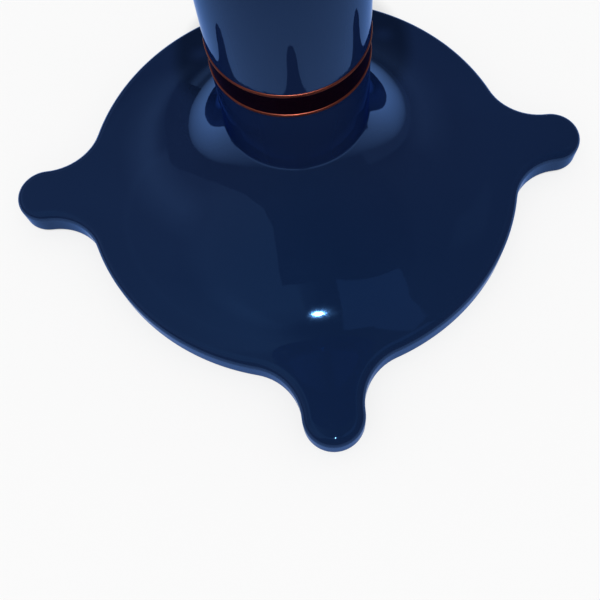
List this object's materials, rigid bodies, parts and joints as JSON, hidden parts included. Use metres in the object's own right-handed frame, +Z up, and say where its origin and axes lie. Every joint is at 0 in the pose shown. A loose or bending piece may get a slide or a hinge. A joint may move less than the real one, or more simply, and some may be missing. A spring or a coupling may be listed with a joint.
{
  "type": "pedestal stand",
  "caption": "Free-standing pedestal: trumpet base with toes, slim trimmed neck band, tube column and a small round bolting flange, on levelling glides.",
  "frame": {"origin": "on the floor, under the middle of the base", "axes": "+Z up along the column, +X and +Y each over a toe"},
  "size_m": [0.335, 0.335, 0.5],
  "materials": {
    "navy_lacquer": "high-gloss navy lacquer",
    "copper_trim": "polished copper",
    "dark_band": "high-gloss, almost black",
    "cover_board": "fine textured",
    "glide_nylon": "moulded",
    "zinc_steel": "zinc plated",
    "raw_steel": "black oxide",
    "insert_brass": "turned",
    "turned_aluminium": "turned"
  },
  "bodies": {
    "stand": {"base_shell": "navy_lacquer", "base_cover": "cover_board", "cover_screws": "zinc_steel", "ballast_plate": "raw_steel", "ballast_bolts": "zinc_steel", "foot_inserts": "insert_brass", "lower_trim_ring": "copper_trim", "neck_band": "dark_band", "upper_trim_ring": "copper_trim", "neck_spigot": "turned_aluminium", "column_tube": "navy_lacquer", "tie_rod": "zinc_steel", "lower_nut": "zinc_steel", "lower_washer": "zinc_steel", "top_plug": "turned_aluminium", "upper_washer": "zinc_steel", "upper_nut": "zinc_steel", "top_flange": "navy_lacquer", "flange_screws": "zinc_steel"},
    "glide_1": {"glide_pad_1": "glide_nylon"},
    "glide_2": {"glide_pad_2": "glide_nylon"},
    "glide_3": {"glide_pad_3": "glide_nylon"},
    "glide_4": {"glide_pad_4": "glide_nylon"},
    "stud_1": {"glide_stud_1": "zinc_steel"},
    "stud_2": {"glide_stud_2": "zinc_steel"},
    "stud_3": {"glide_stud_3": "zinc_steel"},
    "stud_4": {"glide_stud_4": "zinc_steel"}
  },
  "joints": [
    {"name": "glide_1_slide", "type": "slide", "parent": "stand", "child": "glide_1", "axis": [0, 0, -1], "range_m": [0, 0.003]},
    {"name": "glide_2_slide", "type": "slide", "parent": "stand", "child": "glide_2", "axis": [0, 0, -1], "range_m": [0, 0.003]},
    {"name": "glide_3_slide", "type": "slide", "parent": "stand", "child": "glide_3", "axis": [0, 0, -1], "range_m": [0, 0.003]},
    {"name": "glide_4_slide", "type": "slide", "parent": "stand", "child": "glide_4", "axis": [0, 0, -1], "range_m": [0, 0.003]},
    {"name": "stud_1_turn", "type": "hinge", "parent": "glide_1", "child": "stud_1", "pos_m": [0.15097, 0, 0.005], "axis": [0, 0, -1], "range_deg": [0, 1080]},
    {"name": "stud_2_turn", "type": "hinge", "parent": "glide_2", "child": "stud_2", "pos_m": [0, 0.15097, 0.005], "axis": [0, 0, -1], "range_deg": [0, 1080]},
    {"name": "stud_3_turn", "type": "hinge", "parent": "glide_3", "child": "stud_3", "pos_m": [-0.15097, 0, 0.005], "axis": [0, 0, -1], "range_deg": [0, 1080]},
    {"name": "stud_4_turn", "type": "hinge", "parent": "glide_4", "child": "stud_4", "pos_m": [0, -0.15097, 0.005], "axis": [0, 0, -1], "range_deg": [0, 1080]}
  ],
  "couplings": [
    {"joint": "stud_1_turn", "follows": "glide_1_slide", "rad_per_m": 6283.2},
    {"joint": "stud_2_turn", "follows": "glide_2_slide", "rad_per_m": 6283.2},
    {"joint": "stud_3_turn", "follows": "glide_3_slide", "rad_per_m": 6283.2},
    {"joint": "stud_4_turn", "follows": "glide_4_slide", "rad_per_m": 6283.2}
  ]
}
